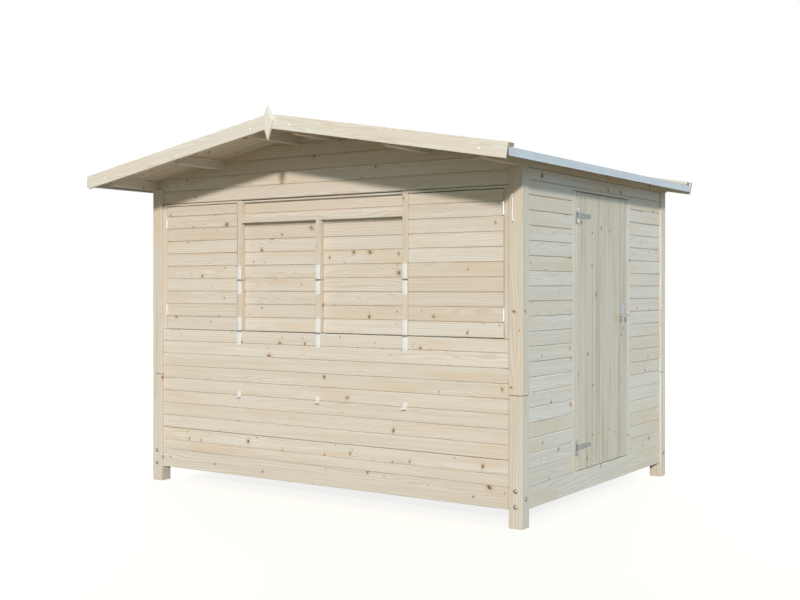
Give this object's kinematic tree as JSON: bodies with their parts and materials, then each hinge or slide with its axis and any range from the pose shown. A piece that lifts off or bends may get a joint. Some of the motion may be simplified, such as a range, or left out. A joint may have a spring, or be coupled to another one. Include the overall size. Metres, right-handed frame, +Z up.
{
  "type": "wooden garden shed",
  "caption": "Boarded timber shed on corner posts with a low felted gable roof, a deep front overhang, a shuttered serving hatch with folding counter arms and a hinged side door.",
  "frame": {"origin": "on the ground under the middle of the whole outline, roof and finial included", "axes": "+X along the front to the right, towards the door side; +Y from the front to the back; +Z up"},
  "size_m": [3.404, 2.863, 2.5417],
  "materials": {
    "boards": "untreated planed spruce boards",
    "framing": "untreated planed spruce",
    "trim": "untreated planed spruce",
    "felt": "mineral-faced roofing felt",
    "drip_metal": "bare sheet",
    "fittings": "bright zinc",
    "handle": "satin"
  },
  "bodies": {
    "shed": {"lower_posts": "framing", "upper_posts": "framing", "long_beams": "framing", "short_beams": "framing", "floor_deck": "boards", "floor_joists": "framing", "front_skirt": "boards", "front_wall": "boards", "front_gable": "boards", "rear_wall": "boards", "rear_gable": "boards", "left_wall": "boards", "right_wall_front": "boards", "right_wall_rear": "boards", "right_wall_head": "boards", "wall_battens": "framing", "hatch_frame": "framing", "hatch_head": "framing", "left_shutter": "boards", "right_shutter": "boards", "centre_panel": "boards", "counter_rail": "framing", "counter_arms": "framing", "counter_stiles": "framing", "counter_hinges": "fittings", "arm_rests": "fittings", "shutter_hinges": "fittings", "cabin_hook": "fittings", "ridge_purlins": "framing", "mid_purlins": "framing", "eave_purlins": "framing", "roof_left": "boards", "roof_right": "boards", "roof_felt": "felt", "drip_edges": "drip_metal", "left_barges": "trim", "right_barges": "trim", "left_caps": "trim", "right_caps": "trim", "finial": "trim", "door_jambs": "framing", "door_lintel": "framing", "hinge_plates": "fittings", "door_keep": "fittings"},
    "door": {"door_leaf": "boards", "door_ledges": "framing", "door_brace": "framing", "hinge_straps": "fittings", "handle_plates": "handle"},
    "door_lever": {"lever": "handle"}
  },
  "joints": [
    {"name": "door_hinge", "type": "hinge", "parent": "shed", "child": "door", "pos_m": [1.5235, -0.1815, 1.13], "axis": [0, 0, -1], "range_deg": [0, 165]},
    {"name": "lever_turn", "type": "hinge", "parent": "door", "child": "door_lever", "pos_m": [1.506, 0.551, 1.216], "axis": [1, 0, 0], "range_deg": [0, 40], "stiffness_Nm_per_rad": 1.2, "springref_deg": -28.65}
  ]
}
